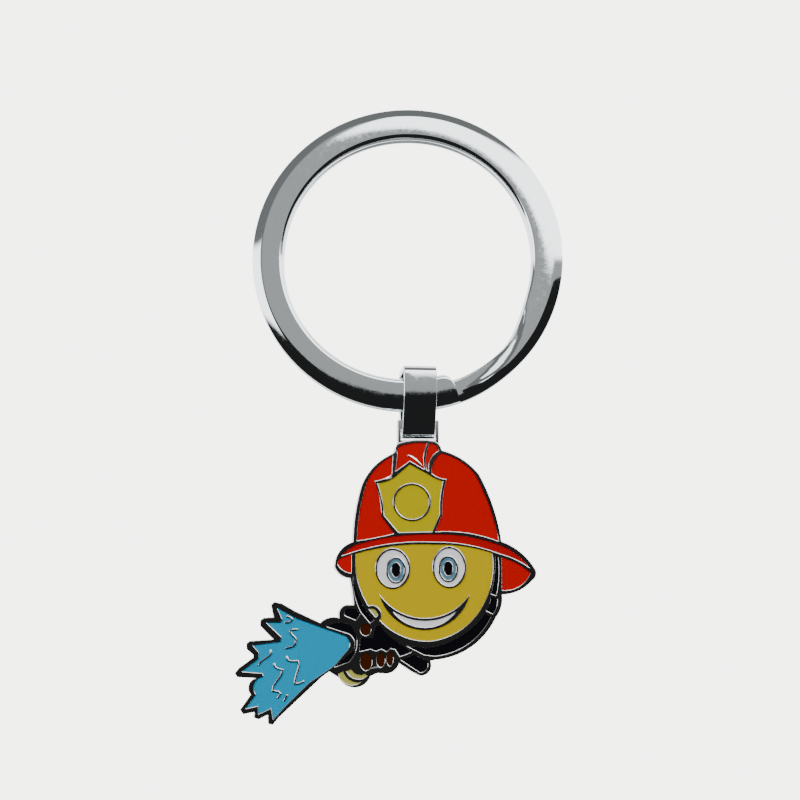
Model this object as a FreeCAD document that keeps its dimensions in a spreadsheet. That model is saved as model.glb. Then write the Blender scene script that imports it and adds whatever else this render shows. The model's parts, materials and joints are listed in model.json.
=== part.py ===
"""Souvenir keychain: split ring, formed connector strap and an enamelled metal charm.

Frame: millimetres, +Z up, front towards -Y.  The origin is the top of the ring's hole, where the
ring hangs.  The charm's own drawing frame has its origin at the middle of the bar that the strap
holds, x to the right and z up, and it is turned a little about the vertical.
"""
import FreeCAD, Part
import math
import os

V = FreeCAD.Vector

# ---------------------------------------------------------------- driving dimensions
SIZES = {
    "ring_bore": 24.0,          # inner diameter of the split ring
    "wire_width": 3.0,          # radial width of the flat wire
    "coil_thick": 1.0,
    "coil_gap": 0.04,           # split between the two coils
    "outer_bevel": 0.85,        # sloped outer shoulder of the wire, radial
    "outer_drop": 0.32,
    "inner_bevel": 0.25,
    "inner_drop": 0.3,
    "edge_break": 0.12,
    "tip_angle": 19.5,          # front tip, degrees to the right of straight down
    "coil_sweep": 325.0,
    "ramp_sweep": 22.0,         # stretch where the wire crosses from front to back
    "tip_round": 1.0,
    "strap_angle": 4.0,         # strap's place on the ring, degrees to the right
    "strap_width": 3.1,
    "strap_thick": 0.5,
    "strap_half": 2.05,         # half gap inside the strap
    "strap_corner": 0.35,
    "strap_kink": 0.45,         # the legs lean in below this depth under the wire
    "strap_hook": 0.85,         # inner radius of the bend that holds the charm
    "seam_gap": 0.06,
    "bar_depth": 2.9,           # bar of the charm below the middle of the wire
    "twist": 6.0,               # strap and charm turned about the vertical, degrees
    "body_thick": 1.8,
    "tab_thick": 1.2,
    "tab_width": 3.9,
    "tab_top": 0.43,
    "tab_foot": 2.7,
    "slot_width": 3.3,
    "slot_top": 0.43,
    "slot_foot": 1.5,
    "recess": 0.35,             # depth of the enamel cells
    "enamel_low": 0.05,         # enamel surface below the raised lines
    "line_width": 0.2,
    "stroke_width": 0.17,
    "pupil_line": 0.08,
}

# ---------------------------------------------------------------- charm outlines
# Silhouette of the metal, then the enamel cells with the metal lines left between them.
BODY_OUTLINE = [(-1.8, -1.8), (-0.3, -1.5, 1.25, -1.55), (1.85, -1.8, 2.2, -2.45), (4.2, -3.3, 5.75, -4.7),
 (6.95, -7.4, 7.8, -11), (9.5, -11.9, 10.9, -13.45), (11.05, -14.1, 10.65, -14.65),
 (9.5, -15.55, 7.8, -15.95), (7.7, -17.1, 7.2, -18.05), (4.9, -20.75, 1.55, -21.95),
 (1.05, -22.05), (0.9, -23.05, 0.1, -23.4), (-0.7, -23), (-1.85, -22.25),
 (-2.4, -23, -3.25, -23.2), (-3.85, -23.15), (-4.5, -23.45), (-5.95, -24.45, -7.3, -23.6),
 (-8.25, -23), (-8.95, -23.5), (-12.75, -27.05), (-13.35, -27.75), (-13.75, -27.65),
 (-13.8, -26.85), (-14.6, -27.25), (-15.05, -27.1), (-15, -26.6), (-16, -26.8), (-16.3, -26.4),
 (-15.35, -25.05), (-15.6, -24.4, -14.9, -23.6), (-16.6, -23.5), (-16.85, -23.15), (-16.5, -22.7),
 (-15.2, -21.75), (-15.2, -21.5), (-15.8, -21), (-15.85, -20.5), (-15.55, -20.25), (-13.4, -20.1),
 (-14.6, -18.9), (-14.6, -18.4), (-14.3, -18.15), (-13.4, -18.1), (-13.65, -17), (-13.35, -16.7),
 (-12.65, -16.85), (-11.4, -17.55), (-9.1, -18.6), (-8.25, -18.1, -7.4, -18.15),
 (-7.3, -17.4, -6.8, -16.95), (-6.05, -16.95), (-6.2, -15.65, -6.4, -14.5),
 (-7.2, -14.25, -7.85, -13.45), (-7.5, -12.2, -6.15, -11.15), (-5.9, -8.15, -5.35, -5.85),
 (-4.2, -4.05, -2.5, -2.85), (-2.2, -2.6), (-2.1, -2.05, -1.8, -1.8)]

CELLS = {
    "helmet_left": [
        [(-2.45, -3.05), (-3.8, -4, -4.95, -5.75), (-5.5, -8.05, -5.8, -11.05),
         (-4.05, -10.75, -2.35, -10.35), (-3.5, -8.8), (-3.7, -7.1, -4.2, -5.45),
         (-3.25, -5.2, -2.55, -4.8), (-2.45, -3.05)],
    ],
    "helmet_comb": [
        [(-2, -2.85), (-1.95, -2.3, -1.55, -2.05), (-0.3, -1.8, 0.8, -1.8), (0.45, -3, 0.55, -4.3),
         (-0.85, -3.5), (-2.2, -4.5), (-2, -2.85)],
    ],
    "helmet_ridge": [
        [(1.05, -1.8), (1.6, -2, 1.9, -2.5), (1.25, -3.05, 0.95, -4.45), (0.75, -4.35),
         (0.7, -3.05, 1.05, -1.8)],
    ],
    "helmet_right": [
        [(2.15, -2.75), (3.9, -3.45, 5.4, -4.8), (6.6, -7.5, 7.55, -11),
         (4.7, -10.25, 1.55, -10.15), (2.2, -8.6), (2.25, -7.1, 2.65, -5.2),
         (1.9, -5.05, 1.25, -4.7), (1.5, -3.45, 2.15, -2.75)],
    ],
    "badge": [
        [(-0.85, -3.85), (0.85, -4.75), (1.55, -5.15, 2.3, -5.4), (2, -7, 1.95, -8.55),
         (1.25, -10.15), (-1.9, -10.25), (-3.25, -8.7), (-3.45, -7.2, -3.9, -5.65),
         (-2.8, -5.4, -2, -4.85), (-0.85, -3.85)],
    ],
    "brim": [
        [(-7.2, -12.45), (-6.65, -11.9, -5.95, -11.45), (-2.1, -10.6, 1.45, -10.4),
         (4.7, -10.6, 7.7, -11.4), (9.2, -12.2, 10.45, -13.45), (8.95, -12.6, 7.6, -12.15),
         (4.4, -11.3, 1.45, -11.1), (-2.4, -11.25, -6.05, -12.05), (-7.2, -12.45)],
    ],
    "brim_under_left": [
        [(-7.2, -12.65), (-6.3, -12.35), (-6.3, -14.05), (-7.05, -13.8, -7.55, -13.3),
         (-7.5, -12.9, -7.2, -12.65)],
    ],
    "brim_under_right": [
        [(7.8, -12.5), (9.1, -13, 10.5, -13.95), (9.7, -15, 7.8, -15.55), (7.8, -12.5)],
    ],
    "face": [
        [(-5.9, -12.25), (-2.3, -11.5, 1.45, -11.35), (4.3, -11.5, 6.9, -12.1),
         (6.8, -14.8, 5.95, -17), (4.05, -19.1, 0.95, -20.25), (-1.65, -19.75, -3.65, -18.35),
         (-3.7, -17.3, -4.7, -17.05), (-5.55, -15.25, -5.9, -12.25)],
        [(-3.7, -15.95), (0.55, -18.15, 4.75, -15.95), (0.55, -19.25, -3.7, -15.95)],
    ],
    "teeth": [
        [(-2.4, -17.55), (0.55, -18.4, 3.45, -17.55), (0.55, -19, -2.4, -17.55)],
    ],
    "chin_strap_right": [
        [(7.2, -12.35), (7.45, -12.45), (7.5, -14.2, 7.25, -16.05), (6.75, -15.9),
         (7.1, -14.2, 7.2, -12.35)],
    ],
    "buckle": [
        [(6.75, -16.2), (7.35, -16.35), (7.25, -17.1, 6.9, -17.75), (6.3, -17.45),
         (6.6, -16.9, 6.75, -16.2)],
    ],
    "chin_strap_lower": [
        [(6.15, -17.75), (6.7, -18.05), (4.75, -20.35, 1.45, -21.6), (0.5, -21.5), (-1.15, -20.7),
         (0.85, -20.9), (3.95, -19.75, 6.15, -17.75)],
    ],
    "chin_strap_left": [
        [(-6.15, -14.3), (-5.65, -16.15, -4.2, -18.35), (-4.55, -18.6), (-5.4, -17.6),
         (-5.95, -16.15, -6.15, -14.3)],
    ],
    "valve": [
        [(-6.85, -17.95), (-6.8, -17.45, -6.55, -17.3), (-5.9, -17.35), (-5.5, -17.85),
         (-5.85, -18.35), (-6.85, -17.95)],
    ],
    "nozzle_rim": [
        [(-8.5, -18.95), (-7.3, -18.6, -6.25, -18.95), (-5.75, -20.55, -6.5, -22.15),
         (-7.8, -22.6), (-6.1, -21.15), (-5.95, -20.35, -6.45, -19.6), (-8.5, -18.95)],
    ],
    "nozzle_body": [
        [(-5.45, -19.95), (-4.3, -19.95), (-4, -18.9), (-3.65, -18.8), (-2.8, -19.8, -1.8, -20.5),
         (-0.7, -21.25), (-1.8, -21.65), (-2.2, -21), (-2.65, -20.9), (-3, -21.2), (-3.5, -20.95),
         (-4, -21.15), (-4.5, -20.95), (-5.5, -21.2), (-5.45, -19.95)],
    ],
    "hose_end": [
        [(-1.7, -21.95), (-0.45, -21.5), (0.35, -21.9), (0.75, -22.05), (0.65, -22.8, 0.1, -23.1),
         (-1.7, -21.95)],
    ],
    "cuff_lower": [
        [(-7.45, -23.2), (-6.55, -24.15, -5.35, -23.95), (-6.35, -23.8, -7, -23), (-7.45, -23.2)],
    ],
    "cuff_upper": [
        [(-6.7, -22.95), (-5.85, -23.65, -4.8, -23.4), (-5, -23.2), (-5.75, -23.25, -6.25, -22.8),
         (-6.7, -22.95)],
    ],
    "collar": [
        [(-4.65, -17.35), (-4.05, -17.45, -3.9, -18), (-4.05, -18.05), (-4.65, -17.35)],
    ],
    "water": [
        [(-6.8, -19.8), (-9, -19.05), (-11.35, -18.2), (-13.1, -17.25), (-12.6, -18.3),
         (-12.75, -18.6), (-14.05, -18.6), (-12.65, -19.9), (-12.75, -20.35), (-15.25, -20.65),
         (-14.7, -21.3), (-14.75, -21.9), (-16.2, -23), (-14.35, -23.15), (-14.2, -23.45),
         (-15.1, -24.3, -14.9, -25.05), (-15.8, -26.3), (-14.7, -26.05), (-14.65, -26.8),
         (-13.5, -26.25), (-13.3, -27.25), (-12.1, -25.95), (-10.1, -24), (-7.85, -22.5),
         (-6.55, -21), (-6.45, -20.35, -6.8, -19.8)],
    ],
}

OVALS = {
    "badge_disc": (-0.65, -7.4, 1.6, 1.6),
    "eye_white_left": (-2.45, -13.6, 1.45, 1.7),
    "eye_white_right": (2.85, -13.45, 1.4, 1.75),
    "iris_left": (-2.15, -13.75, 0.75, 1.05),
    "iris_right": (2.75, -13.6, 0.75, 1.05),
    "pupil_left": (-2.15, -13.75, 0.4, 0.65),
    "pupil_right": (2.75, -13.6, 0.4, 0.65),
    "thumb": (-4.95, -19.2, 0.5, 0.55),
    "finger_first": (-4.9, -22.1, 0.55, 0.8),
    "finger_second": (-3.55, -21.95, 0.4, 0.65),
    "finger_third": (-2.7, -21.85, 0.3, 0.65),
}

STROKES = {
    "helmet_comb": [
        [(-1.05, -3), (-0.5, -3.15), (0.3, -4)],
    ],
    "water": [
        [(-12.25, -18), (-11.7, -18.2), (-11.8, -18.55), (-12.4, -18.6)],
        [(-11.15, -19.2), (-11.9, -19.25), (-11.8, -19.65), (-11.3, -20.05), (-11.4, -20.7),
         (-12.3, -20.95)],
        [(-13.65, -21.05), (-13.55, -21.5), (-14.4, -22), (-14.7, -22.45)],
        [(-12.15, -21.6), (-12.05, -22.1), (-10.85, -22.05), (-11.5, -24.1), (-11.05, -24.1),
         (-10.55, -23.85)],
        [(-13.3, -22.25), (-13.2, -22.7), (-12.3, -22.9), (-13.65, -24.7), (-12.6, -24.85),
         (-12.95, -25.4)],
        [(-12.05, -25.05), (-12.35, -25.65)],
    ],
}

# Ovals that stand inside another cell, each behind a raised metal line.
HOLES = {
    "badge": ["badge_disc"],
    "face": ["eye_white_left", "eye_white_right"],
    "eye_white_left": ["iris_left"],
    "eye_white_right": ["iris_right"],
    "iris_left": ["pupil_left"],
    "iris_right": ["pupil_right"],
}

# ---------------------------------------------------------------- document and sheet
doc = FreeCAD.newDocument("keychain")
sheet = doc.addObject("Spreadsheet::Sheet", "Sizes")
for row, (name, value) in enumerate(SIZES.items(), start=1):
    sheet.set(f"A{row}", name)
    sheet.set(f"B{row}", str(value))
    sheet.setAlias(f"B{row}", name)
doc.recompute()


def size(name):
    return float(sheet.get(name))


RING_INNER = size("ring_bore") / 2
RING_OUTER = RING_INNER + size("wire_width")
WIRE_RADIUS = RING_INNER + size("wire_width") / 2
RING_CENTRE = V(0, 0, -RING_INNER)
STRAP_ANGLE = math.radians(size("strap_angle"))
STRAP_PIVOT = RING_CENTRE + V(math.sin(STRAP_ANGLE), 0, -math.cos(STRAP_ANGLE)) * WIRE_RADIUS
CHARM_PIVOT = STRAP_PIVOT - V(0, 0, size("bar_depth"))
TWIST = FreeCAD.Rotation(V(0, 0, 1), size("twist"))
UPRIGHT = FreeCAD.Rotation(V(1, 0, 0), 90)          # sketch x to X, sketch y to Z, normal to -Y
PROFILE = FreeCAD.Rotation(V(1, 1, 1), 120)         # sketch x to Y, sketch y to Z, normal to X


# ---------------------------------------------------------------- helpers
def outline_edges(outline):
    """Edges of an outline: (x, z) is a line to there, (mx, mz, x, z) an arc through (mx, mz)."""
    edges = []
    start = V(*outline[0][-2:], 0)
    for item in list(outline[1:]) + [outline[0][-2:]]:
        end = V(*item[-2:], 0)
        if len(item) == 4:
            edges.append(Part.Arc(start, V(*item[:2], 0), end))
        elif start.distanceToPoint(end) > 1e-6:
            edges.append(Part.LineSegment(start, end))
        start = end
    return edges


def oval(x, z, half_width, half_height, grow=0.0):
    """An upright oval or a circle."""
    half_width += grow
    half_height += grow
    if abs(half_width - half_height) < 1e-6:
        return [Part.Circle(V(x, z, 0), V(0, 0, 1), half_width)]
    return [Part.Ellipse(V(x, z + half_height, 0), V(x - half_width, z, 0), V(x, z, 0))]


def eased(points):
    """The line through the points with each bend cut to two gentler ones."""
    line = [V(x, z, 0) for x, z in points]
    bends = []
    for before, bend, after in zip(line, line[1:], line[2:]):
        bends += [bend + (before - bend) * 0.25, bend + (after - bend) * 0.25]
    return [line[0], *bends, line[-1]]


def stroke(points, width):
    """Closed outline of a raised line of the given width that follows the points."""
    line = eased(points)
    left, right = [], []
    for i, here in enumerate(line):
        before = (here - line[i - 1]).normalize() if i > 0 else None
        after = (line[i + 1] - here).normalize() if i + 1 < len(line) else None
        along = (before or after) + (after or before)
        along.normalize()
        side = V(-along.y, along.x, 0)
        lean = max(0.6, side.dot(V(-(after or before).y, (after or before).x, 0)))
        left.append(here + side * (width / 2 / lean))
        right.append(here - side * (width / 2 / lean))
    loop = left + right[::-1]
    return outline_edges([(p.x, p.y) for p in loop])


def sketch(name, edges, placement):
    drawing = doc.addObject("Sketcher::SketchObject", name)
    drawing.addGeometry(edges, False)
    drawing.Placement = placement
    return drawing


def extrusion(name, drawing, length, back=None):
    """Extrusion along the sketch's normal; lengths are expressions of the sheet."""
    solid = doc.addObject("Part::Extrusion", name)
    solid.Base = drawing
    solid.DirMode = "Normal"
    solid.Solid = True
    solid.setExpression("LengthFwd", length)
    if back:
        solid.setExpression("LengthRev", back)
    return solid


def box(name, placement, **lengths):
    solid = doc.addObject("Part::Box", name)
    for side, rule in lengths.items():
        solid.setExpression(side, rule)
    solid.Placement = placement
    return solid


def fuse(name, pieces):
    joined = doc.addObject("Part::MultiFuse", name)
    joined.Shapes = pieces
    return joined


def cut(name, base, tool):
    result = doc.addObject("Part::Cut", name)
    result.Base = base
    result.Tool = tool
    return result


# ---------------------------------------------------------------- split ring
def wire_section(share):
    """Corners (radius, y) of the flat wire: share 0 is the front coil, share 1 the back coil."""
    gap, thick = size("coil_gap") / 2, size("coil_thick")
    near, far = gap + size("edge_break"), gap + thick - size("outer_drop")
    front = [(RING_INNER + size("edge_break"), -gap), (RING_INNER, -near),
             (RING_INNER, -gap - thick + size("inner_drop")),
             (RING_INNER + size("inner_bevel"), -gap - thick),
             (RING_OUTER - size("outer_bevel"), -gap - thick), (RING_OUTER, -far),
             (RING_OUTER, -near), (RING_OUTER - size("edge_break"), -gap)]
    back = [(r, -y) for r, y in front[3::-1] + front[:3:-1]]
    return [(rf + (rb - rf) * share, yf + (yb - yf) * share)
            for (rf, yf), (rb, yb) in zip(front, back)]


def ring_sketch(name, share, turn):
    """Wire section at a turn about the ring's axis; turn 0 is straight down, growing clockwise."""
    place = FreeCAD.Placement(RING_CENTRE, FreeCAD.Rotation(V(0, 1, 0), 90 + turn))
    return sketch(name, outline_edges(wire_section(share)), place)


def coil(name, share, turn):
    ring = doc.addObject("Part::Revolution", name)
    ring.Source = ring_sketch(name + "_section", share, turn)
    ring.Base = RING_CENTRE
    ring.Axis = V(0, 1, 0)
    ring.Solid = True
    ring.setExpression("Angle", "Sizes.coil_sweep")
    return ring


def tip_cutter(name, turn, side):
    """Tool that rounds the inner corner of a wire end: side +1 for the front end, -1 for the back."""
    radius = size("tip_round")
    swing = math.degrees(radius / RING_INNER) * side

    def at(r, angle):
        angle = math.radians(turn + angle)
        return (-r * math.sin(angle), -r * math.cos(angle))

    outline = [at(RING_INNER - 0.5, -swing / 2), at(RING_INNER - 0.5, swing * 1.4),
               (*at(RING_INNER + radius * 0.22, swing * 0.33), *at(RING_INNER + radius, 0)),
               at(RING_INNER + radius, -swing / 2)]
    drawing = sketch(name + "_outline", outline_edges(outline),
                     FreeCAD.Placement(RING_CENTRE, UPRIGHT))
    tool = extrusion(name, drawing, "Sizes.coil_thick * 2")
    tool.Reversed = side < 0                        # the back tip's tool reaches backwards
    return tool


def split_ring():
    first = -size("tip_angle")
    ramp_start = first + size("coil_sweep")
    ramp_end = ramp_start + size("ramp_sweep")
    front = coil("coil_front", 0, first)
    back = coil("coil_back", 1, ramp_end)
    ramp = doc.addObject("Part::Loft", "ramp")
    steps = 4
    ramp.Sections = [ring_sketch(f"ramp_section_{i}", (1 - math.cos(math.pi * i / steps)) / 2,
                                 ramp_start + size("ramp_sweep") * i / steps)
                     for i in range(steps + 1)]
    ramp.Solid = True
    wire = fuse("wire", [front, ramp, back])
    front_done = cut("wire_front_tip", wire, tip_cutter("tip_front", first, 1))
    back_tip = tip_cutter("tip_back", ramp_end + size("coil_sweep"), -1)
    return cut("split_ring", front_done, back_tip)


# ---------------------------------------------------------------- connector strap
def strap_loop(grow):
    """Outline (y, z) of the strap round the wire and the charm's bar, grown outwards."""
    half, top, foot = size("strap_half"), size("strap_half"), size("bar_depth")
    kink, hook, corner = size("strap_kink"), size("strap_hook"), size("strap_corner")
    reach = math.hypot(half, foot - kink)
    lean = math.acos(hook / reach) - math.atan2(foot - kink, half)
    side, up, bend = half + grow, top + grow, corner + grow
    radius = hook + grow
    touch = (radius * math.cos(lean), -foot - radius * math.sin(lean))
    knee = -kink - grow * math.tan(lean / 2)
    arc = bend * (1 - math.sqrt(0.5))
    return [(-side + bend, up), (side - bend, up), (side - arc, up - arc, side, up - bend),
            (side, knee), touch, (0, -foot - radius, -touch[0], touch[1]),
            (-side, knee), (-side, up - bend), (-side + arc, up - arc, -side + bend, up)]


def connector_strap():
    place = FreeCAD.Placement(STRAP_PIVOT, TWIST * PROFILE)
    edges = outline_edges(strap_loop(0)) + outline_edges(strap_loop(size("strap_thick")))
    band = extrusion("strap_band", sketch("strap_profile", edges, place),
                     "Sizes.strap_width / 2", "Sizes.strap_width / 2")
    depth = size("strap_half") + size("strap_thick") / 2
    corner = V(-size("strap_width"), depth - size("strap_thick"), size("strap_kink"))
    seam = box("strap_seam", FreeCAD.Placement(STRAP_PIVOT + TWIST.multVec(corner), TWIST),
               Length="Sizes.strap_width * 2", Width="Sizes.strap_thick * 2",
               Height="Sizes.seam_gap")
    return cut("connector_strap", band, seam)


# ---------------------------------------------------------------- charm
def charm_place(y):
    """Placement of a charm sketch at the depth y, which grows towards the back."""
    return FreeCAD.Placement(CHARM_PIVOT + TWIST.multVec(V(0, y, 0)), TWIST * UPRIGHT)


def cell_edges(name):
    """Enamel outline with its holes: inner pieces and raised strokes."""
    edges = []
    if name in OVALS:
        edges += oval(*OVALS[name])
    for outline in CELLS.get(name, []):
        edges += outline_edges(outline)
    for inner in HOLES.get(name, []):
        rim = size("pupil_line") if inner.startswith("pupil") else size("line_width")
        edges += oval(*OVALS[inner], grow=rim)
    for points in STROKES.get(name, []):
        edges += stroke(points, size("stroke_width"))
    return edges


def enamel_cell(name):
    """The enamel piece of one cell and the tool that opens its recess in the metal."""
    floor = -size("body_thick") / 2 + size("recess")
    drawing = sketch(name + "_outline", cell_edges(name), charm_place(floor))
    enamel = extrusion("enamel_" + name, drawing, "Sizes.recess - Sizes.enamel_low")
    recess = extrusion("recess_" + name, drawing, "Sizes.recess * 2")
    return enamel, recess


def charm_base(recesses):
    body = extrusion("charm_body", sketch("body_outline", outline_edges(BODY_OUTLINE), charm_place(0)),
                     "Sizes.body_thick / 2", "Sizes.body_thick / 2")

    def plate(name, width, thick, top, foot):
        corner = V(-size(width) / 2, -size(thick) / 2, -size(foot))
        return box(name, FreeCAD.Placement(CHARM_PIVOT + TWIST.multVec(corner), TWIST),
                   Length=f"Sizes.{width}", Width=f"Sizes.{thick}",
                   Height=f"Sizes.{top} + Sizes.{foot}")

    tab = plate("tab", "tab_width", "tab_thick", "tab_top", "tab_foot")
    slot_corner = V(-size("slot_width") / 2, -size("body_thick"), -size("slot_foot"))
    slot = box("slot", FreeCAD.Placement(CHARM_PIVOT + TWIST.multVec(slot_corner), TWIST),
               Length="Sizes.slot_width", Width="Sizes.body_thick * 2",
               Height="Sizes.slot_foot - Sizes.slot_top")
    blank = cut("charm_blank", fuse("charm_metal", [body, tab]), slot)
    return cut("charm_base", blank, fuse("recesses", recesses))


# ---------------------------------------------------------------- build, check, write
nodes = [split_ring(), connector_strap()]
cells = [enamel_cell(name) for name in list(CELLS) + list(OVALS)]
nodes.append(charm_base([recess for enamel, recess in cells]))
nodes += [enamel for enamel, recess in cells]
doc.recompute()

for item in doc.Objects:
    if "Invalid" in item.State or "Error" in item.State:
        raise SystemExit(f"{item.Name} failed: {item.State}")
for node in nodes:
    node.Label = node.Name
    if node.Shape.isNull() or not node.Shape.isValid():
        raise SystemExit(f"{node.Name} has no valid shape")
    if len(node.Shape.Solids) != 1:
        raise SystemExit(f"{node.Name} has {len(node.Shape.Solids)} solids")

os.makedirs("parts", exist_ok=True)
for node in nodes:
    node.Shape.exportStep(f"parts/{node.Label}.step")
    reach = node.Shape.BoundBox
    print(f"{node.Label:28s} {node.Shape.Volume:9.3f} mm3  x {reach.XMin:.2f} {reach.XMax:.2f}"
          f"  y {reach.YMin:.2f} {reach.YMax:.2f}  z {reach.ZMin:.2f} {reach.ZMax:.2f}")
print("pieces:", len(nodes))
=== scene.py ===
"""Looks of the souvenir keychain: chrome split ring and strap, plated charm with glossy enamel.

Metres, +Z up, the enamelled front faces -Y.  The CAD frame gives the joints' places, the casting and
the enamel.  The ring and the strap are swept again here with rounded edges, from sizes that repeat
those of the CAD.  The casting is copied and edge-rounded.  The enamel nodes stay as they are and only
get their materials.
"""

import bmesh
import bpy
import json
import math
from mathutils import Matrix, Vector


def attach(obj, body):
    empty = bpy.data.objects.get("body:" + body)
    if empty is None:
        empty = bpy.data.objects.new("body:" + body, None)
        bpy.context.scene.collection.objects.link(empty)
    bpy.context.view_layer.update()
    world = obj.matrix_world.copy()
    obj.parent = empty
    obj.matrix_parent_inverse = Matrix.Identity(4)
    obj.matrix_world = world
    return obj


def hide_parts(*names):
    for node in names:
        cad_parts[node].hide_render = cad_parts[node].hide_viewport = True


MM = 0.001
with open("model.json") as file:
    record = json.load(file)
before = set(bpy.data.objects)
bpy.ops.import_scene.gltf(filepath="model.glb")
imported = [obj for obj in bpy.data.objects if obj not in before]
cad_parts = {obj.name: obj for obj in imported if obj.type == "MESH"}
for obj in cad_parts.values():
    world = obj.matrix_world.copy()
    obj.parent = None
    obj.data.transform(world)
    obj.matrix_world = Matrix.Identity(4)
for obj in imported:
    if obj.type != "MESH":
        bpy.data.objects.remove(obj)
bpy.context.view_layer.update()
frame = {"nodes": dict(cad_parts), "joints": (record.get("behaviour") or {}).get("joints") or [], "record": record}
nodes = frame["nodes"]
joints = {joint["name"]: joint for joint in frame["joints"]}

# ---------------------------------------------------------------- sizes, in metres
RING_INNER = 12.0 * MM
RING_OUTER = 15.0 * MM
RING_CENTRE = Vector((0, 0, -RING_INNER))
COIL_THICK = 1.0 * MM
COIL_GAP = 0.04 * MM
OUTER_BEVEL = 0.85 * MM
OUTER_DROP = 0.32 * MM
INNER_BEVEL = 0.25 * MM
INNER_DROP = 0.3 * MM
EDGE_BREAK = 0.12 * MM
TIP_ANGLE = 19.5                 # front tip, degrees to the right of straight down
COIL_SWEEP = 325.0
RAMP_SWEEP = 22.0
FACE_CROWN = 0.015 * MM          # the polished flat of the wire is a little domed
DIVE_START = 306.0               # where the bore side of the wire starts to fall back, degrees
DIVE_SKEW = 17.0 / MM            # how much later it falls back farther out, degrees per metre
DIVE_LENGTH = 28.0
DIVE_LATEST = 338.0              # all of the wire falls back from here on
DIVE_END = 358.0
PINCH = 0.75 * MM                # the wire is narrower where it falls back
PINCH_RISE = (308.0, 336.0)      # turns between which it narrows
PINCH_FALL = (356.0, 376.0)      # turns between which it widens again
TIP_ROUND = 1.0 * MM
TURN_STEP = 1.25                 # degrees between the ring's sections
TIP_SHARES = (0, 0.01, 0.04, 0.1, 0.2, 0.35, 0.5, 0.7, 0.85, 1)   # finer steps at the round tip
WIRE_EDGE = 0.08 * MM            # rounding of the wire's edges
FACE_STRIPS = 6                  # strips across the flat of the wire
RING_CREASE = 50                 # edges over this many degrees stay sharp in the shading

STRAP_WIDTH = 3.1 * MM
STRAP_THICK = 0.5 * MM
STRAP_HALF = 2.05 * MM
STRAP_KINK = 0.45 * MM
STRAP_HOOK = 0.85 * MM
STRAP_CORNER = 0.35 * MM
STRAP_EDGE = 0.09 * MM           # rounding of the strap's edges
STRAP_CREASE = 40
KNEE_REACH = 0.12 * MM           # length of each side of the small curve at the strap's knees
CORNER_STEPS = 10
KNEE_STEPS = 5
HOOK_STEPS = 28
SEAM_TOP = 0.0                   # the ends of the strip meet at the height of the wire's middle
SEAM_GAP = 0.06 * MM

WIRE_AXIS = Vector(joints["connector_swing"]["pos_m"])
BAR_AXIS = Vector(joints["charm_swing"]["pos_m"])
SIDEWAYS = Vector(joints["charm_swing"]["axis"]).normalized()
FRONT = Vector((SIDEWAYS.y, -SIDEWAYS.x, 0))
UP = Vector((0, 0, 1))
BAR_DEPTH = (WIRE_AXIS - BAR_AXIS).length

# Widths asked of the bevel.  Its clamping makes both smaller, as the narrowest lines leave little room.
RIM_ROUND = 0.10 * MM            # the charm's outer edges
LINE_ROUND = 0.05 * MM           # the raised lines between the enamel cells
EDGE_SHADE = 0.09 * MM           # radius by which the plating's edges are shaded as round
MERGE_DISTANCE = 1e-7
FLAT_ANGLE = math.radians(1)     # faces that meet at less than this are merged
CREASE_ANGLE = math.radians(50)  # edges over this are rounded
FACING = 0.9                     # least share of a face's normal that points to the front or back
SIDEWAYS_FACING = 0.1            # most of it for a face of the casting's side
RIM_DEPTH = 1.7 * MM             # the casting's side is deeper than this, a cell's side is not


# ---------------------------------------------------------------- materials
def material(name, colour, metallic=0.0, roughness=0.2):
    """A Principled material; colour is linear."""
    made = bpy.data.materials.new(name)
    made.use_nodes = True
    shader = made.node_tree.nodes["Principled BSDF"]
    shader.inputs["Base Color"].default_value = (*colour, 1)
    shader.inputs["Metallic"].default_value = metallic
    shader.inputs["Roughness"].default_value = roughness
    return made


NOISE_BAND = (0.4, 0.7)          # part of the noise that is spread over the roughness
SCUFF_DEPTH = 0.02 * MM


def add_scuffs(made, scale, low, high, bump):
    """Fine wear: varies the roughness and the surface a little."""
    tree = made.node_tree
    shader = tree.nodes["Principled BSDF"]
    place = tree.nodes.new("ShaderNodeTexCoord")
    noise = tree.nodes.new("ShaderNodeTexNoise")
    noise.inputs["Scale"].default_value = scale
    noise.inputs["Detail"].default_value = 6.0
    spread = tree.nodes.new("ShaderNodeMapRange")
    spread.inputs["From Min"].default_value = NOISE_BAND[0]
    spread.inputs["From Max"].default_value = NOISE_BAND[1]
    spread.inputs["To Min"].default_value = low
    spread.inputs["To Max"].default_value = high
    relief = tree.nodes.new("ShaderNodeBump")
    relief.inputs["Strength"].default_value = bump
    relief.inputs["Distance"].default_value = SCUFF_DEPTH
    tree.links.new(place.outputs["Object"], noise.inputs["Vector"])
    tree.links.new(noise.outputs["Fac"], spread.inputs["Value"])
    tree.links.new(spread.outputs["Result"], shader.inputs["Roughness"])
    tree.links.new(noise.outputs["Fac"], relief.inputs["Height"])
    tree.links.new(relief.outputs["Normal"], shader.inputs["Normal"])
    return made


def soften_edges(made, radius):
    """Shades the edges as if they were rounded by the radius."""
    tree = made.node_tree
    edge = tree.nodes.new("ShaderNodeBevel")
    edge.samples = 8
    edge.inputs["Radius"].default_value = radius
    tree.links.new(edge.outputs["Normal"], tree.nodes["Principled BSDF"].inputs["Normal"])
    return made


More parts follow.
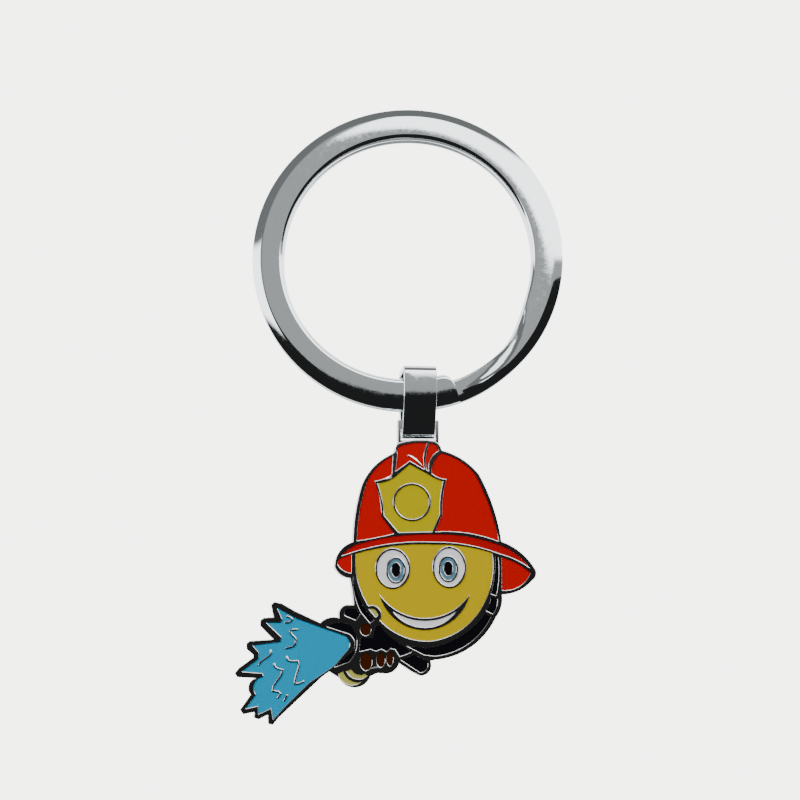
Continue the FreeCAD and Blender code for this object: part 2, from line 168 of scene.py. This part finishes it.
CHROME = add_scuffs(material("chrome", (0.76, 0.82, 0.84), metallic=1.0),
                    scale=2500, low=0.03, high=0.09, bump=0.06)
PLATING = soften_edges(material("charm_plating", (0.80, 0.80, 0.81), metallic=1.0, roughness=0.06),
                       EDGE_SHADE)
ENAMEL_COLOURS = {
    "enamel_red": (0.54, 0.0, 0.0),
    "enamel_dark_red": (0.44, 0.0, 0.0),
    "enamel_badge_yellow": (0.50, 0.42, 0.0),
    "enamel_yellow": (0.56, 0.41, 0.0),
    "enamel_white": (0.90, 0.90, 0.93),
    "enamel_blue_grey": (0.10, 0.24, 0.34),
    "enamel_black": (0.004, 0.004, 0.006),
    "enamel_brown": (0.045, 0.009, 0.001),
    "enamel_olive": (0.46, 0.46, 0.09),
    "enamel_cyan": (0.0, 0.32, 0.56),
}
ENAMEL = {slot: material(slot, colour, roughness=0.07)
          for slot, colour in ENAMEL_COLOURS.items()}


# ---------------------------------------------------------------- mesh helpers
def new_object(name, vertices, faces, surface, body, slot_name, node):
    mesh = bpy.data.meshes.new(name)
    mesh.from_pydata([tuple(v) for v in vertices], [], faces)
    mesh.materials.append(surface)
    mesh.shade_smooth()
    made = bpy.data.objects.new(name, mesh)
    bpy.context.scene.collection.objects.link(made)
    work = bmesh.new()
    work.from_mesh(mesh)
    bmesh.ops.recalc_face_normals(work, faces=work.faces)
    work.to_mesh(mesh)
    work.free()
    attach(made, body)
    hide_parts(node)
    return made


def tube(rows):
    """Vertices and faces of a closed-section strip through the rows, with its two ends capped."""
    count = len(rows[0])
    vertices = [point for row in rows for point in row]
    faces = []
    for i in range(len(rows) - 1):
        for j in range(count):
            k = (j + 1) % count
            faces.append((i * count + j, i * count + k, (i + 1) * count + k, (i + 1) * count + j))
    faces.append(tuple(range(count)))
    faces.append(tuple((len(rows) - 1) * count + j for j in range(count)))
    return vertices, faces


def rounded(corners, radius, steps=4):
    """The closed polygon with each corner replaced by an arc of about the given radius."""
    points = []
    for i, corner in enumerate(corners):
        before = corners[i - 1] - corner
        after = corners[(i + 1) % len(corners)] - corner
        reach = min(radius, before.length * 0.45, after.length * 0.45)
        start = corner + before.normalized() * reach
        end = corner + after.normalized() * reach
        for step in range(steps + 1):
            t = step / steps
            points.append(start.lerp(corner, t).lerp(corner.lerp(end, t), t))
    return points


# ---------------------------------------------------------------- split ring
def eased(value, start, end):
    """0 before start, 1 after end and a smooth rise between them."""
    t = min(max((value - start) / (end - start), 0), 1)
    return t * t * (3 - 2 * t)


def wire_section(turn):
    """Corners (radius, y) of the flat wire at a turn from its front tip."""
    gap = COIL_GAP / 2
    face = -gap - COIL_THICK
    flat = [RING_INNER + INNER_BEVEL, RING_OUTER - OUTER_BEVEL]
    middle = sum(flat) / 2
    across = [flat[0] + (flat[1] - flat[0]) * i / FACE_STRIPS for i in range(1, FACE_STRIPS)]
    crown = [face + FACE_CROWN * ((r - middle) / (flat[1] - middle)) ** 2 for r in across]
    inner = [(RING_INNER + EDGE_BREAK, -gap), (RING_INNER, -gap - EDGE_BREAK),
             (RING_INNER, face + INNER_DROP), (flat[0], face + FACE_CROWN)]
    outer = [(flat[1], face + FACE_CROWN), (RING_OUTER, face + OUTER_DROP),
             (RING_OUTER, -gap - EDGE_BREAK), (RING_OUTER - EDGE_BREAK, -gap)]
    split = [(r, -gap) for r in across]
    front = inner + list(zip(across, crown)) + outer + split[::-1]
    far = [(r, -depth) for r, depth in zip(across, crown)]
    back = [(r, -y) for r, y in inner[::-1]] + [(r, gap) for r in across]
    back += [(r, -y) for r, y in outer[::-1]] + far[::-1]
    narrow = PINCH * (eased(turn, *PINCH_RISE) - eased(turn, *PINCH_FALL))
    corners = []
    for (r, y), (back_r, back_y) in zip(front, back):
        start = DIVE_START + DIVE_SKEW * (r - RING_INNER)
        share = max(eased(turn, start, start + DIVE_LENGTH), eased(turn, DIVE_LATEST, DIVE_END))
        radius = r + (back_r - r) * share
        radius += narrow * (RING_OUTER - radius) / (RING_OUTER - RING_INNER)
        corners.append(Vector((radius, y + (back_y - y) * share)))
    return rounded(corners, WIRE_EDGE, 2)


def split_ring():
    total = 2 * COIL_SWEEP + RAMP_SWEEP
    tip = math.degrees(TIP_ROUND / RING_INNER)
    turns = [tip * share for share in TIP_SHARES]
    turns += [tip + TURN_STEP * i for i in range(1, int((total - 2 * tip) / TURN_STEP))]
    turns += [total - tip * share for share in reversed(TIP_SHARES)]
    rows = []
    for turn in turns:
        end = min(turn, total - turn, tip) / tip
        lift = TIP_ROUND * (1 - math.sqrt(1 - (1 - end) ** 2))
        angle = math.radians(turn - TIP_ANGLE)
        outward = Vector((-math.sin(angle), 0, -math.cos(angle)))
        row = []
        for radius, depth in wire_section(turn):
            squeeze = (RING_OUTER - radius) / (RING_OUTER - RING_INNER)
            row.append(RING_CENTRE + outward * (radius + lift * squeeze) + Vector((0, depth, 0)))
        rows.append(row)
    made = new_object("ring_wire", *tube(rows), CHROME, "ring", "ring_chrome", "split_ring")
    sharpen(made, RING_CREASE)
    shading = made.modifiers.new("shading", "WEIGHTED_NORMAL")
    shading.keep_sharp = True


def sharpen(made, degrees):
    """Smooth shading with the edges over the given angle kept sharp."""
    made.data.shade_smooth()
    made.data.set_sharp_from_angle(angle=math.radians(degrees))


# ---------------------------------------------------------------- connector strap
def strap_path():
    """Middle line (depth towards the back, height) of the strap from its seam round to its seam."""
    mid = STRAP_THICK / 2
    reach = math.hypot(STRAP_HALF, BAR_DEPTH - STRAP_KINK)
    lean = math.acos(STRAP_HOOK / reach) - math.atan2(BAR_DEPTH - STRAP_KINK, STRAP_HALF)
    side, top = STRAP_HALF + mid, STRAP_HALF + mid
    bend, hook = STRAP_CORNER + mid, STRAP_HOOK + mid
    knee = -STRAP_KINK - mid * math.tan(lean / 2)
    path = [Vector((side, SEAM_TOP))]
    path += arc((side - bend, top - bend), bend, 0, 90, CORNER_STEPS)
    path += arc((-side + bend, top - bend), bend, 90, 180, CORNER_STEPS)
    knee_front = [Vector((-side, knee + KNEE_REACH)), Vector((-side, knee)),
                  Vector((-side, knee)) + Vector((math.sin(lean), -math.cos(lean))) * KNEE_REACH]
    path += curve(knee_front, KNEE_STEPS)
    tilt = math.degrees(lean)
    path += arc((0, -BAR_DEPTH), hook, 180 + tilt, 360 - tilt, HOOK_STEPS)
    knee_back = [Vector((-p.x, p.y)) for p in reversed(knee_front)]
    path += curve(knee_back, KNEE_STEPS)
    path.append(Vector((side, SEAM_TOP - SEAM_GAP)))
    return path


def arc(centre, radius, start, end, steps):
    angles = [math.radians(start + (end - start) * i / steps) for i in range(steps + 1)]
    return [Vector((centre[0] + radius * math.cos(a), centre[1] + radius * math.sin(a)))
            for a in angles]


def curve(bend, steps):
    """Points of the quadratic curve through a bend given by its start, corner and end."""
    start, corner, end = bend
    return [start.lerp(corner, i / steps).lerp(corner.lerp(end, i / steps), i / steps)
            for i in range(steps + 1)]


def connector_strap():
    half = Vector((STRAP_WIDTH / 2, STRAP_THICK / 2))
    corners = [Vector((half.x, half.y)), Vector((-half.x, half.y)),
               Vector((-half.x, -half.y)), Vector((half.x, -half.y))]
    section = rounded(corners, STRAP_EDGE)
    path = strap_path()
    rows = []
    for i, here in enumerate(path):
        before = path[max(i - 1, 0)]
        after = path[min(i + 1, len(path) - 1)]
        along = (after - before).normalized()
        normal = Vector((along.y, -along.x))
        row = []
        for across, out in section:
            point = here + normal * out
            row.append(WIRE_AXIS + SIDEWAYS * across - FRONT * point.x + UP * point.y)
        rows.append(row)
    made = new_object("strap", *tube(rows), CHROME, "connector", "strap_chrome", "connector_strap")
    sharpen(made, STRAP_CREASE)


# ---------------------------------------------------------------- charm
def is_rim(edge):
    """An edge between the flat front or back and the tall side of the casting."""
    facing = [abs(face.normal.dot(FRONT)) for face in edge.link_faces]
    if len(facing) != 2 or max(facing) < FACING or min(facing) > SIDEWAYS_FACING:
        return False
    side = edge.link_faces[facing.index(min(facing))]
    depths = [vertex.co.dot(FRONT) for vertex in side.verts]
    return max(depths) - min(depths) > RIM_DEPTH


def casting():
    """A copy of the casting with flat faces merged and a small bevel on its edges."""
    mesh = nodes["charm_base"].data.copy()
    work = bmesh.new()
    work.from_mesh(mesh)
    bmesh.ops.remove_doubles(work, verts=work.verts, dist=MERGE_DISTANCE)
    bmesh.ops.dissolve_limit(work, angle_limit=FLAT_ANGLE, verts=work.verts,
                             edges=work.edges)
    weight = work.edges.layers.float.new("bevel_weight_edge")
    for edge in work.edges:
        if is_rim(edge):
            edge[weight] = 1.0
        elif len(edge.link_faces) == 2 and edge.calc_face_angle() > CREASE_ANGLE:
            edge[weight] = LINE_ROUND / RIM_ROUND
    work.to_mesh(mesh)
    work.free()
    mesh.materials.clear()
    mesh.materials.append(PLATING)
    made = bpy.data.objects.new("casting", mesh)
    bpy.context.scene.collection.objects.link(made)
    mesh.shade_smooth()
    soften = made.modifiers.new("soften", "BEVEL")
    soften.width = RIM_ROUND
    soften.segments = 3
    soften.limit_method = "WEIGHT"
    shading = made.modifiers.new("shading", "WEIGHTED_NORMAL")
    shading.keep_sharp = True
    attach(made, "charm")
    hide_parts("charm_base")


def enamel():
    """Each enamel node keeps its shape and takes the colour of its slot."""
    for part in frame["record"]["subparts"]:
        if part["node"].startswith("enamel_"):
            for place in nodes[part["node"]].material_slots:
                place.material = ENAMEL[part["material_slot"]]


# ---------------------------------------------------------------- surroundings and light
# Tones that the metal mirrors, and what only the camera sees.
GREY = 0.46                      # what stands in front of the keychain
DIM = 0.20                       # overhead and to the left
FLOOR = 0.018
BRIGHT = 3.8                     # the window and the patch
BEHIND_LOW = 0.09                # tone behind the keychain low down, as a share of BRIGHT
BEHIND = 0.61                    # what is added to that share higher up
BACKGROUND = (5.2, 5.2, 5.0, 1)

# Where one tone gives way to another, as parts of a direction: up is the sine of the height angle.
FLOOR_EDGE = (0.148, 0.160)
CEILING_EDGE = (0.80, 0.70)
WINDOW_SLANT = 0.6
WINDOW_EDGE = (0.318, 0.350)     # the window's slanting lower edge
WINDOW_FOOT = (0.23, 0.28)
WINDOW_LEFT = (-0.10, -0.03)
PATCH_RIGHT = (-0.50, -0.62)
PATCH_TOP = (0.36, 0.29)
PATCH_FOOT = (-0.14, -0.04)
BEHIND_FOOT = (-0.32, -0.16)
BEHIND_EDGE = (-0.10, 0.10)
WALL_LEFT = (-0.40, -0.15)


def studio():
    """World: surroundings for the metal to mirror, and a plain pale background for the camera.

    The surroundings are dark below the keychain, grey in front of it and dim overhead, with a bright
    window up to the right, a smaller bright patch low on the left and a bright wall behind.  The
    camera's own rays see only the background.
    """
    world = bpy.data.worlds.new("studio")
    world.use_nodes = True
    tree = world.node_tree
    tree.nodes.clear()

    def rise(socket, start, end):
        """0 where the value is at start, 1 where it is at end, smooth between them."""
        made = tree.nodes.new("ShaderNodeMapRange")
        made.interpolation_type = "SMOOTHSTEP"
        made.inputs["From Min"].default_value = start
        made.inputs["From Max"].default_value = end
        tree.links.new(socket, made.inputs["Value"])
        return made.outputs["Result"]

    def combined(operation, first, second):
        made = tree.nodes.new("ShaderNodeMath")
        made.operation = operation
        tree.links.new(first, made.inputs[0])
        if isinstance(second, float):
            made.inputs[1].default_value = second
        else:
            tree.links.new(second, made.inputs[1])
        return made.outputs[0]

    place = tree.nodes.new("ShaderNodeTexCoord")
    split = tree.nodes.new("ShaderNodeSeparateXYZ")
    tree.links.new(place.outputs["Generated"], split.inputs["Vector"])
    right, back, up = split.outputs
    above_floor = rise(up, *FLOOR_EDGE)
    below_ceiling = rise(up, *CEILING_EDGE)
    slanting = combined("ADD", up, combined("MULTIPLY", right, WINDOW_SLANT))
    window_height = combined("MULTIPLY", rise(up, *WINDOW_FOOT), below_ceiling)
    window = combined("MULTIPLY", rise(slanting, *WINDOW_EDGE), window_height)
    window = combined("MULTIPLY", window, rise(right, *WINDOW_LEFT))
    patch = combined("MULTIPLY", rise(right, *PATCH_RIGHT), rise(up, *PATCH_TOP))
    patch = combined("MULTIPLY", patch, rise(up, *PATCH_FOOT))
    behind = combined("ADD", combined("MULTIPLY", rise(up, *BEHIND_FOOT), BEHIND), BEHIND_LOW)
    behind = combined("MULTIPLY", behind, rise(back, *BEHIND_EDGE))
    bright = combined("MAXIMUM", combined("MAXIMUM", window, patch), behind)
    not_left = rise(right, *WALL_LEFT)
    wall = combined("MULTIPLY", above_floor, combined("MULTIPLY", below_ceiling, not_left))
    tone = combined("ADD", combined("MULTIPLY", above_floor, DIM - FLOOR), FLOOR)
    tone = combined("ADD", tone, combined("MULTIPLY", wall, GREY - DIM))
    tone = combined("MAXIMUM", tone, combined("MULTIPLY", bright, BRIGHT))
    around = tree.nodes.new("ShaderNodeBackground")
    tree.links.new(tone, around.inputs["Color"])
    plain = tree.nodes.new("ShaderNodeBackground")
    plain.inputs["Color"].default_value = BACKGROUND
    ray = tree.nodes.new("ShaderNodeLightPath")
    chosen = tree.nodes.new("ShaderNodeMixShader")
    tree.links.new(ray.outputs["Is Camera Ray"], chosen.inputs["Fac"])
    tree.links.new(around.outputs["Background"], chosen.inputs[1])
    tree.links.new(plain.outputs["Background"], chosen.inputs[2])
    out = tree.nodes.new("ShaderNodeOutputWorld")
    tree.links.new(chosen.outputs["Shader"], out.inputs["Surface"])
    bpy.context.scene.world = world


LAMP_PLACE = (-0.25, -0.18, 0.22)
LAMP_AIM = (0, 0, -0.03)
LAMP_SIDE = 0.12
LAMP_POWER = 1.0                 # watts


def area_light(name, place, target, side, power):
    data = bpy.data.lights.new(name, "AREA")
    data.size = side
    data.energy = power
    lamp = bpy.data.objects.new(name, data)
    lamp.location = place
    lamp.visible_glossy = False          # the surroundings alone show in the metal
    lamp.rotation_euler = (Vector(target) - Vector(place)).to_track_quat("-Z", "Y").to_euler()
    bpy.context.scene.collection.objects.link(lamp)


# ---------------------------------------------------------------- camera
LENS = 66.0                      # focal length and sensor width, millimetres
SENSOR = 36.0
CLIP_START = 0.005
CAMERA_DISTANCE = 140 * MM
CAMERA_PITCH = math.radians(10)      # the camera stands lower than the keychain and looks up
AIM = Vector((-0.73, 0, -25.9)) * MM


def camera():
    data = bpy.data.cameras.new("camera")
    data.lens = LENS
    data.sensor_width = SENSOR
    data.clip_start = CLIP_START
    made = bpy.data.objects.new("camera", data)
    forward = Vector((0, math.cos(CAMERA_PITCH), math.sin(CAMERA_PITCH)))
    made.location = AIM - forward * CAMERA_DISTANCE
    made.rotation_euler = forward.to_track_quat("-Z", "Y").to_euler()
    bpy.context.scene.collection.objects.link(made)
    bpy.context.scene.camera = made


split_ring()
connector_strap()
casting()
enamel()
studio()
area_light("lamp", LAMP_PLACE, LAMP_AIM, LAMP_SIDE, LAMP_POWER)
camera()
